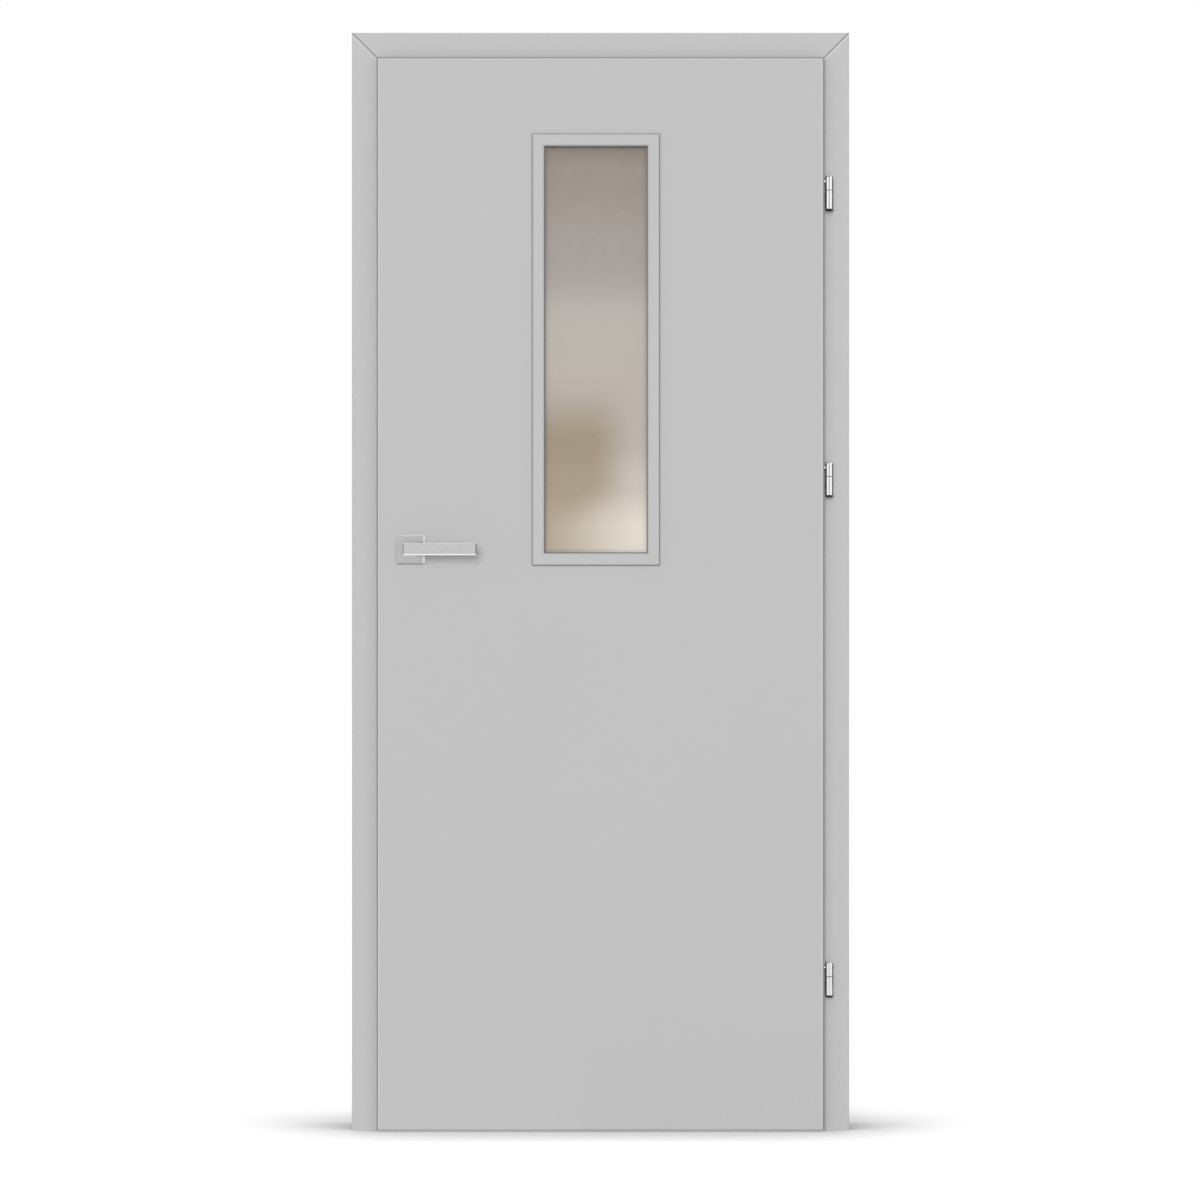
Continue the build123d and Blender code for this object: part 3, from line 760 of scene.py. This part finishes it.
@dataclass(frozen=True)
class Ring:
    """A thin strip round an upright rectangle."""

    width: float
    height: float
    strip: float
    edge: float = 0.0004
    open_below: bool = False

    def build(self, name: str, centre: Point, depth: float) -> Piece:
        """Models the strip.

        Args:
            name: the piece's name.
            centre: middle of the rectangle, on the face that the strip starts from.
            depth: how far the strip stands off that face along y, with its sign.

        Returns:
            The piece.
        """
        deselect()
        bpy.ops.mesh.primitive_plane_add(size=1.0, rotation=(QUARTER_TURN, 0, 0))
        ring = bpy.context.object
        ring.name = name
        ring.scale = (self.width, self.height, 1.0)
        ring.location = centre
        bpy.ops.object.transform_apply(location=True, rotation=True, scale=True)
        pick_faces(ring, lambda face: True)
        bpy.ops.mesh.inset(thickness=self.strip, depth=0.0)
        bpy.ops.mesh.delete(type="FACE")
        if self.open_below:
            floor_z = centre[2] - self.height / 2 + self.strip
            pick_faces(ring, lambda face: face.center.z < floor_z)
            bpy.ops.mesh.delete(type="FACE")
        bpy.ops.mesh.select_all(action="SELECT")
        bpy.ops.mesh.extrude_region_move(TRANSFORM_OT_translate={"value": (0, depth, 0)})
        bpy.ops.mesh.select_all(action="SELECT")
        bpy.ops.mesh.normals_make_consistent(inside=False)
        bpy.ops.object.mode_set(mode="OBJECT")
        soften(ring, self.edge)
        settle(ring)
        return ring


@dataclass(frozen=True)
class ScrewHead:
    """A flat countersunk screw head with a cross recess.

    The rim's width is a share of the radius, its rise is a share of the height, and the recess tapers
    to a share of its size.
    """

    radius: float = 0.0036
    height: float = 0.0005
    rim_width: float = 0.12
    rim_rise: float = 0.35
    recess_depth: float = 0.0012
    recess_reach: float = 0.0019
    recess_width: float = 0.0006
    recess_taper: float = 0.7

    def build(self, name: str, place: Point, outward: Point) -> Piece:
        """Models one head.

        Args:
            name: the piece's name.
            place: centre of its seat, in metres.
            outward: direction that the head faces.

        Returns:
            The piece.
        """
        head = cylinder(name, self.radius, self.height)
        pick_faces(head, lambda face: face.normal.z > FACING)
        bpy.ops.mesh.inset(thickness=self.radius * self.rim_width, depth=self.height * self.rim_rise)
        bpy.ops.mesh.delete(type="FACE")
        bpy.ops.object.mode_set(mode="OBJECT")
        self.cover(head)
        aim(head, Vector(outward))
        head.location = Vector(place) + Vector(outward).normalized() * (self.height / 2)
        settle(head)
        return head

    def cover(self, head: Piece) -> None:
        """Closes the top of a head with a face that has a cross sunk in it.

        Args:
            head: the head, open at the top.
        """
        reach, half = self.recess_reach, self.recess_width / 2
        top = (0, 0, self.height * (0.5 + self.rim_rise))
        bpy.ops.mesh.primitive_grid_add(x_subdivisions=3, y_subdivisions=3, size=2 * reach, location=top)
        cross = bpy.context.object
        for vertex in cross.data.vertices:
            for axis in range(2):
                outer = abs(vertex.co[axis]) > reach / 2
                vertex.co[axis] = math.copysign(reach if outer else half, vertex.co[axis])
        pick_faces(cross, lambda face: abs(face.center.x) < half or abs(face.center.y) < half)
        bpy.ops.mesh.extrude_region_move(TRANSFORM_OT_translate={"value": (0, 0, -self.recess_depth)})
        bpy.ops.transform.resize(value=(self.recess_taper, self.recess_taper, 1.0))
        deselect()
        cross.select_set(True)
        head.select_set(True)
        bpy.context.view_layer.objects.active = head
        bpy.ops.object.join()
        bpy.ops.object.mode_set(mode="EDIT")
        bpy.ops.mesh.select_all(action="DESELECT")
        bpy.ops.mesh.select_mode(type="EDGE")
        bpy.ops.mesh.select_non_manifold(extend=False, use_wire=False, use_boundary=True)
        bpy.ops.mesh.bridge_edge_loops()
        bpy.ops.mesh.select_all(action="SELECT")
        bpy.ops.mesh.normals_make_consistent(inside=False)
        bpy.ops.object.mode_set(mode="OBJECT")


# Sub-assemblies


@dataclass
class Assembly(ABC):
    """A group of solids that is dressed and finished together."""

    nodes: dict[str, Piece]

    @abstractmethod
    def dress(self) -> None:
        """Gives the group's solids their finishes."""

    @abstractmethod
    def build(self) -> None:
        """Adds the group's small pieces."""

    def coat(self, finish: Finish, *names: str) -> None:
        """Gives solids a finish.

        Args:
            finish: the finish.
            names: the solids.
        """
        for name in names:
            piece = self.nodes[name]
            piece.data.materials.clear()
            piece.data.materials.append(finish.material())
            LOG.info("solid %s in %s", name, finish.name)


@dataclass
class DoorFrame(Assembly):
    """The wrap-round frame with its seals and strike."""

    strike_screw_rise: float = 0.058
    strike_screw_back: float = 0.001
    joint_width: float = 0.0011
    joint_depth: float = 0.0016
    joint_share: float = 0.97
    joint_sides: int = 12
    joint_end_inset: float = 0.15
    joint_end_rise: float = 0.1

    def dress(self) -> None:
        """Gives the frame's solids their finishes."""
        boards = [n for n in self.nodes if n.endswith("_jamb") or "_architrave" in n]
        self.coat(FRAME_LACQUER.fitted("front_architrave_head"), *boards)
        self.coat(SEAL_RUBBER, *[n for n in self.nodes if n.startswith("seal_")])
        self.coat(LOCK_STEEL, "strike_plate")

    def build(self) -> None:
        """Adds the two screws of the strike and the filler in the four mitres."""
        low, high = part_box("strike_plate")
        middle = (low + high) / 2
        for label, sign in (("upper", 1.0), ("lower", -1.0)):
            place = (high.x, middle.y + self.strike_screw_back, middle.z + sign * self.strike_screw_rise)
            screw = ScrewHead().build(f"strike_screw_{label}", place, (1, 0, 0))
            give(screw, LOCK_STEEL, Body.FRAME)
        for side in Side:
            for label, towards in (("hinge_side", 1.0), ("lock_side", -1.0)):
                self.joint_line(side, label, towards)

    def joint_line(self, side: Side, label: str, towards: float) -> None:
        """Lays the bead of joint filler in the bottom of one mitre's groove.

        Args:
            side: the face of the wall.
            label: the side of the doorway.
            towards: 1 where the mitre runs outwards along +x, else -1.
        """
        kind = side.name.lower()
        low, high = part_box(f"{kind}_architrave_{label}")
        head_low, head_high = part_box(f"{kind}_architrave_head")
        outer_x, inner_x = (high.x, low.x) if towards > 0 else (low.x, high.x)
        sunk_y = side.face(low, high) - side.value * self.joint_depth
        run = Vector((outer_x - inner_x, 0.0, head_high.z - head_low.z))
        radius, length = self.joint_width / 2, run.length * self.joint_share
        line = cylinder(f"mitre_joint_{kind}_{label}", radius, length, self.joint_sides)
        pick_faces(line, lambda face: abs(face.normal.z) > FACING)
        inset, rise = self.joint_width * self.joint_end_inset, self.joint_width * self.joint_end_rise
        bpy.ops.mesh.inset(thickness=inset, depth=rise)
        aim(line, run)
        line.location = ((outer_x + inner_x) / 2, sunk_y, (head_low.z + head_high.z) / 2)
        settle(line)
        give(line, JOINT_FILLER, Body.FRAME)


@dataclass
class DoorLeaf(Assembly):
    """The leaf with its lock."""

    faceplate_screw_inset: float = 0.009
    lip_thickness: float = 0.015
    band_thickness: float = 0.0014
    band_lap: float = 0.0009
    band_head_drop: float = 0.0004
    band_setback: float = 0.0004
    band_end_gap: float = 0.0005
    band_edge: float = 0.0003
    lipping_thickness: float = 0.0014
    lipping_edge: float = 0.00028

    def dress(self) -> None:
        """Gives the leaf's solids their finishes."""
        shell = [n for n in self.nodes if n.startswith("leaf_") and n != "leaf_core"]
        self.coat(LEAF_LACQUER.fitted("leaf_front_skin"), *shell)
        self.coat(CORE_BOARD, "leaf_core")
        self.coat(LOCK_STEEL, "mortise_lock", "latch_bolt")

    def build(self) -> None:
        """Adds the two screws of the lock's faceplate, the lip's edge band in painted shade and the foot's
        lipping.
        """
        low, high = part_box("mortise_lock")
        middle_y, inset = (low.y + high.y) / 2, self.faceplate_screw_inset
        for label, z in (("upper", high.z - inset), ("lower", low.z + inset)):
            screw = ScrewHead().build(f"faceplate_screw_{label}", (low.x, middle_y, z), (-1, 0, 0))
            give(screw, LOCK_STEEL, Body.LEAF)
        self.shadow_edge_band()
        self.foot_lipping()

    def shadow_edge_band(self) -> None:
        """Adds the band glued round the lip's edge on the two sides and the head, dark grey as painted
        shade: the shadow line round the leaf.
        """
        low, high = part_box("leaf_front_skin")
        wide = high.x - low.x + 2 * self.band_thickness
        tall = high.z - low.z + 2 * self.band_thickness - self.band_head_drop
        ring = Ring(wide, tall, self.band_thickness + self.band_lap, self.band_edge, open_below=True)
        middle_z = (low.z + high.z - self.band_head_drop) / 2
        centre = ((low.x + high.x) / 2, low.y + self.band_setback, middle_z)
        depth = self.lip_thickness - self.band_setback - self.band_end_gap
        band = ring.build("lip_shadow_edge_band", centre, depth)
        # Its dark grey is painted shade, the shadow line round the leaf.
        give(band, EDGE_BAND_SHADE, Body.LEAF)

    def foot_lipping(self) -> None:
        """Adds the lacquered strip glued under the lip at the foot of the leaf."""
        low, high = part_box("leaf_front_skin")
        deselect()
        middle_y, middle_z = low.y + self.lip_thickness / 2, low.z - self.lipping_thickness / 2
        bpy.ops.mesh.primitive_cube_add(size=1.0, location=((low.x + high.x) / 2, middle_y, middle_z))
        strip = bpy.context.object
        strip.name = "foot_lipping"
        strip.scale = (high.x - low.x, self.lip_thickness, self.lipping_thickness)
        bpy.ops.object.transform_apply(location=True, rotation=True, scale=True)
        soften(strip, self.lipping_edge)
        settle(strip)
        give(strip, LEAF_LACQUER.fitted("leaf_front_skin"), Body.LEAF)


@dataclass
class Glazing(Assembly):
    """The glazed slot: two moulded frames, the pane and its gaskets."""

    bead_width: float = 0.022
    gasket_width: float = 0.002
    gasket_height: float = 0.0016
    gasket_edge: float = 0.0005
    seal_width: float = 0.0012
    seal_height: float = 0.0016
    screw_radius: float = 0.0031
    screw_inset: float = 0.011
    screws_per_side: int = 4
    # Painted tones of the view through the pane, by share of its height.
    tones: Stops = (
        (0.07, srgb(240, 231, 221)),
        (0.175, srgb(213, 203, 195)),
        (0.29, srgb(195, 186, 178)),
        (0.55, srgb(195, 187, 180)),
        (0.72, srgb(172, 164, 158)),
        (0.93, srgb(160, 149, 141)),
        (1.0, srgb(140, 131, 123)),
    )

    def glass(self) -> FrostedGlass:
        """Fits the pane's finish to the pane's box.

        Returns:
            The finish.
        """
        low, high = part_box("glass_pane")
        frame_low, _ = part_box("glazing_frame_front")
        hidden = frame_low.x + self.bead_width - low.x
        return FrostedGlass("frosted_glass", low, high, hidden, self.tones)

    def dress(self) -> None:
        """Gives the glazing's solids their finishes."""
        self.coat(GLAZING_MOULDING, "glazing_frame_front", "glazing_frame_rear")
        self.coat(self.glass(), "glass_pane")

    def build(self) -> None:
        """Adds the gaskets, the seals under the flanges and the screws at the rear."""
        for side in Side:
            self.gasket(side)
            self.seal(side)
        self.screws()

    def gasket(self, side: Side) -> None:
        """Adds the ring that lies on the pane inside one moulded frame, in rubber darkened as painted
        shade.

        Args:
            side: the face of the door.
        """
        low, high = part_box("glazing_frame_front")
        middle = (low + high) / 2
        width, height = high.x - low.x - 2 * self.bead_width, high.z - low.z - 2 * self.bead_width
        centre = (middle.x, side.face(*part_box("glass_pane")), middle.z)
        ring = Ring(width, height, self.gasket_width, self.gasket_edge)
        piece = ring.build(f"glazing_gasket_{side.name.lower()}", centre, side.value * self.gasket_height)
        give(piece, GASKET_RUBBER_SHADE, Body.LEAF)

    def seal(self, side: Side) -> None:
        """Adds the soft seal that shows round the outer edge of one flange, dark grey as painted shade: the
        shadow line round the frame.

        Args:
            side: the face of the door.
        """
        low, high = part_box(f"glazing_frame_{side.name.lower()}")
        face_y = side.face(*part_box("leaf_front_skin" if side is Side.FRONT else "leaf_back_skin"))
        grown = 2 * self.seal_width
        ring = Ring(high.x - low.x + grown, high.z - low.z + grown, self.seal_width)
        centre = ((low.x + high.x) / 2, face_y, (low.z + high.z) / 2)
        piece = ring.build(f"glazing_seal_{side.name.lower()}", centre, side.value * self.seal_height)
        give(piece, FLANGE_SEAL_SHADE, Body.LEAF)

    def screws(self) -> None:
        """Adds the row of screws down both sides of the rear flange, modelled once and copied."""
        low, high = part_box("glazing_frame_rear")
        start = low.z + 2 * self.screw_inset
        pitch = (high.z - low.z - 4 * self.screw_inset) / (self.screws_per_side - 1)
        places = [
            Vector((x, high.y, start + pitch * step))
            for x in (low.x + self.screw_inset, high.x - self.screw_inset)
            for step in range(self.screws_per_side)
        ]
        head = ScrewHead(radius=self.screw_radius)
        first = head.build("glazing_screw_1", tuple(places[0]), (0, 1, 0))
        give(first, LOCK_STEEL, Body.LEAF)
        for number, place in enumerate(places[1:], start=2):
            copy = duplicate(first, f"glazing_screw_{number}", place - places[0])
            give(copy, LOCK_STEEL, Body.LEAF)


@dataclass
class HandleSet(Assembly):
    """The levers and roses on both faces."""

    grub_radius: float = 0.0026
    grub_depth: float = 0.0006
    grub_rim: float = 0.16
    grub_dish: float = 0.0001
    socket_radius: float = 0.0014
    socket_depth: float = 0.0004
    neck_share: float = 0.55

    def dress(self) -> None:
        """Gives the handle's solids their finishes."""
        self.coat(ROSE_NICKEL, "rose_front", "rose_rear")
        self.coat(HANDLE_NICKEL, "lever_front", "lever_rear")
        self.coat(LOCK_STEEL, "spindle")

    def build(self) -> None:
        """Adds the grub screw under the neck of each lever."""
        for side in Side:
            self.grub_screw(side)

    def grub_screw(self, side: Side) -> None:
        """Models the end of one grub screw with its socket.

        Args:
            side: the face of the door.
        """
        label = side.name.lower()
        low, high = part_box(f"lever_{label}")
        rose_low, rose_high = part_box(f"rose_{label}")
        outer, inner = side.face(low, high), side.face(rose_low, rose_high)
        screw = cylinder(f"grub_screw_{label}", self.grub_radius, self.grub_depth)
        pick_faces(screw, lambda face: face.normal.z < -FACING)
        rim = self.grub_radius * self.grub_rim
        bpy.ops.mesh.inset(thickness=rim, depth=-self.grub_dish)
        bpy.ops.mesh.inset(thickness=self.grub_radius - rim - self.socket_radius, depth=0.0)
        bpy.ops.mesh.extrude_region_move(TRANSFORM_OT_translate={"value": (0, 0, self.socket_depth)})
        neck_y = inner + (outer - inner) * self.neck_share
        screw.location = ((rose_low.x + rose_high.x) / 2, neck_y, low.z)
        settle(screw)
        give(screw, BLACK_STEEL, Body.LEVERS)


@dataclass
class Hinges(Assembly):
    """The three two-part pin hinges."""

    cap_radius: float = 0.0071
    cap_top: float = 0.0012
    cap_drop: float = 0.0018
    cap_sides: int = 32
    cap_round: float = 0.0011
    cap_slopes: Span = (0.6, 0.25)
    cap_smooth_angle: float = 50.0

    def dress(self) -> None:
        """Gives the hinges' solids their finishes."""
        self.coat(HINGE_NICKEL, *[n for n in self.nodes if n.endswith("_knuckle")])
        self.coat(HINGE_NYLON, "hinge_washers")

    def build(self) -> None:
        """Adds the dark cap at the foot of each lower knuckle, modelled once and copied; its near-black is
        painted shade under the knuckle.
        """
        low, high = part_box("hinge_washers")
        axis = (low + high) / 2
        places = ("top", "middle", "bottom")
        feet = {place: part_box(f"hinge_{place}_frame_knuckle")[0].z for place in places}
        first = cylinder("hinge_cap_top", self.cap_radius, self.cap_top + self.cap_drop, self.cap_sides)
        pick_faces(first, lambda face: face.normal.z < -FACING)
        for slope in self.cap_slopes:
            bpy.ops.mesh.inset(thickness=self.cap_round, depth=self.cap_round * slope)
        first.location = (axis.x, axis.y, feet["top"] + (self.cap_top - self.cap_drop) / 2)
        settle(first, self.cap_smooth_angle)
        give(first, HINGE_SHADE_CAP, Body.FRAME)
        for place in places[1:]:
            copy = duplicate(first, f"hinge_cap_{place}", Vector((0.0, 0.0, feet[place] - feet["top"])))
            give(copy, HINGE_SHADE_CAP, Body.FRAME)


# Studio


@dataclass(frozen=True)
class Card:
    """A card that only polished surfaces see: place and size in metres, flat along the axis of no size."""

    name: str
    place: Point
    size: Point
    level: float

    def build(self) -> None:
        """Puts the card up."""
        deselect()
        flat = self.size.index(0.0)
        wide, deep, tall = self.size
        turn = ((0, QUARTER_TURN, 0), (QUARTER_TURN, 0, 0), (0, 0, 0))[flat]
        spans = ((tall, deep), (wide, tall), (wide, deep))[flat]
        bpy.ops.mesh.primitive_plane_add(size=1.0, location=self.place, rotation=turn)
        card = bpy.context.object
        card.name = self.name
        card.scale = (*spans, 1.0)
        material = bpy.data.materials.new(self.name)
        kit = NodeKit(material)
        kit.show(kit.glow(WHITE, self.level))
        material.cycles.emission_sampling = "NONE"
        card.data.materials.append(material)
        for ray in ("camera", "diffuse", "transmission", "volume_scatter", "shadow"):
            setattr(card, f"visible_{ray}", False)


@dataclass(frozen=True)
class Lamp:
    """A broad far light: its strength, and its spread, rise and turn from straight ahead in degrees."""

    name: str
    strength: float
    spread: float
    rise: float
    turn: float

    def build(self) -> None:
        """Hangs the light, out of sight of polished surfaces."""
        data = bpy.data.lights.new(self.name, "SUN")
        data.energy = self.strength
        data.angle = math.radians(self.spread)
        lamp = bpy.data.objects.new(self.name, data)
        bpy.context.scene.collection.objects.link(lamp)
        rise, turn = math.radians(self.rise), math.radians(self.turn)
        level = math.cos(rise)
        towards = Vector((level * math.sin(turn), level * math.cos(turn), -math.sin(rise)))
        lamp.rotation_euler = towards.to_track_quat("-Z", "Y").to_euler()
        lamp.visible_glossy = False


@dataclass
class Studio:
    """White floor, white surroundings, a broad soft light, a fill behind the door and the camera."""

    aim_x: float = -0.4139
    aim_z: float = 1.0058
    face_y: float = -0.086
    distance: float = 9.46
    frame_width: float = 2.2709
    sensor: float = 36.0
    view_end: float = 200.0
    lamps: tuple[Lamp, ...] = (
        Lamp("front_softbox", 1.5, 26.0, 10.0, 5.0),
        Lamp("rear_fill", 0.9, 26.0, 1.0, 172.0),
    )
    ambient: float = 0.5
    floor_size: float = 80.0
    floor_colour: Colour = (0.9, 0.9, 0.9)
    floor_lift: float = 0.53
    shadow_samples: int = 5
    contact_reach: float = 0.25
    contact_depth: float = 2.0
    contact_floor: float = 0.05
    shadow_reach: float = 0.4
    shadow_depth: float = 2.1
    shadow_lean: Point = (0.0, -0.7, 0.7)
    cards: tuple[Card, ...] = (
        Card("grey_screen", (-0.4, -12.0, 3.0), (10.0, 0.0, 6.0), 0.66),
        Card("left_softbox", (-3.6, -2.4, 1.5), (0.0, 2.0, 3.0), 1.4),
        Card("right_softbox", (2.8, -2.4, 1.5), (0.0, 2.0, 3.0), 1.6),
        Card("left_flag", (-3.6, 0.2, 1.5), (0.0, 2.2, 3.0), 0.38),
        Card("right_flag", (2.8, 0.2, 1.5), (0.0, 2.2, 3.0), 0.05),
        Card("ceiling", (-0.4, -1.5, 3.6), (6.0, 5.0, 0.0), 0.92),
        Card("handle_reflector", (-0.8, -0.2, 0.004), (0.56, 0.6, 0.0), 1.5),
        Card("rose_screen", (-1.6, -0.6, 1.02), (0.0, 0.6, 0.34), 0.45),
        Card("rose_flag", (-0.8, -0.95, 0.004), (0.56, 0.8, 0.0), 0.3),
        Card("hinge_flag", (0.2, -0.1, 0.004), (1.3, 1.2, 0.0), 0.03),
        Card("front_carpet", (-0.2, -4.1, 0.004), (6.0, 2.6, 0.0), 0.66),
        Card("rear_screen", (-0.4, 5.0, 2.5), (24.0, 0.0, 5.0), 0.66),
        Card("rear_carpet", (-0.4, 2.6, 0.004), (12.0, 4.6, 0.0), 0.5),
    )

    def world(self) -> None:
        """White to the camera, to gloss and through glass; a plain ambient level to everything else."""
        world = bpy.data.worlds.new("studio")
        bpy.context.scene.world = world
        kit = NodeKit(world)
        path = kit.add("ShaderNodeLightPath").outputs
        seen = (
            Wire(kit, path["Is Camera Ray"])
            + Wire(kit, path["Is Glossy Ray"])
            + Wire(kit, path["Is Transmission Ray"])
        ).clamp()
        strength = seen * (1.0 - self.ambient) + self.ambient
        back = kit.add("ShaderNodeBackground", {}, {"Color": WHITE, "Strength": strength})
        kit.add("ShaderNodeOutputWorld", {}, {"Surface": back.outputs[0]})

    def openness(self, kit: NodeKit, depth: float, **sockets: Any) -> Wire:
        """How open the floor lies, for its painted shadow: 1 far from things, less close to them.

        Args:
            kit: the floor's nodes.
            depth: how fast it darkens close to things.
            sockets: how far and which way the node looks for things.

        Returns:
            The openness.
        """
        free = kit.value("ShaderNodeAmbientOcclusion", sockets, "AO", samples=self.shadow_samples)
        return (1.0 - (1.0 - free) * depth).clamp()

    def floor(self) -> None:
        """A white floor with a painted shadow: the glow that the camera sees is darkened close to things.
        """
        deselect()
        bpy.ops.mesh.primitive_plane_add(size=self.floor_size, location=(self.aim_x, 0, 0))
        floor = bpy.context.object
        floor.name = "studio_floor"
        material = bpy.data.materials.new("studio_floor")
        kit = NodeKit(material)
        path = kit.add("ShaderNodeLightPath").outputs
        diffuse = kit.add("ShaderNodeBsdfDiffuse", {}, {"Color": self.floor_colour}).outputs[0]
        lean = kit.add("ShaderNodeCombineXYZ", {}, dict(enumerate(self.shadow_lean))).outputs[0]
        contact = self.openness(kit, self.contact_depth, Distance=self.contact_reach)
        shadow = self.openness(kit, self.shadow_depth, Distance=self.shadow_reach, Normal=lean)
        # Painted shadow: the camera's glow on the floor darkens close to things.
        shaded = (contact * shadow).math("MAXIMUM", self.contact_floor) * self.floor_lift
        even = Wire(kit, path["Is Glossy Ray"]) * self.floor_lift
        shaders = {0: path["Is Camera Ray"], 1: kit.glow(even), 2: kit.glow(shaded)}
        lift = kit.add("ShaderNodeMixShader", {}, shaders).outputs[0]
        kit.show(kit.add("ShaderNodeAddShader", {}, {0: diffuse, 1: lift}).outputs[0])
        material.cycles.emission_sampling = "NONE"
        floor.data.materials.append(material)

    def camera(self) -> None:
        """The photograph's straight-on view."""
        data = bpy.data.cameras.new("camera")
        data.sensor_width = self.sensor
        data.lens = self.sensor * self.distance / self.frame_width
        data.clip_end = self.view_end
        camera = bpy.data.objects.new("camera", data)
        bpy.context.scene.collection.objects.link(camera)
        camera.location = (self.aim_x, self.face_y - self.distance, self.aim_z)
        camera.rotation_euler = (QUARTER_TURN, 0, 0)
        bpy.context.scene.camera = camera

    def build(self) -> None:
        """Sets the whole studio."""
        bpy.context.scene.view_settings.view_transform = "Standard"
        self.world()
        self.floor()
        for card in self.cards:
            card.build()
        for lamp in self.lamps:
            lamp.build()
        self.camera()
        LOG.info("studio set")


def main() -> None:
    """Loads the solids, dresses them, adds the small pieces and sets the studio."""
    logging.basicConfig(level=logging.INFO, format="%(message)s")
    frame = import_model()
    for kind in (DoorFrame, DoorLeaf, Glazing, HandleSet, Hinges):
        assembly = kind(frame["nodes"])
        assembly.dress()
        assembly.build()
    Studio().build()


if __name__ == "__main__":
    main()
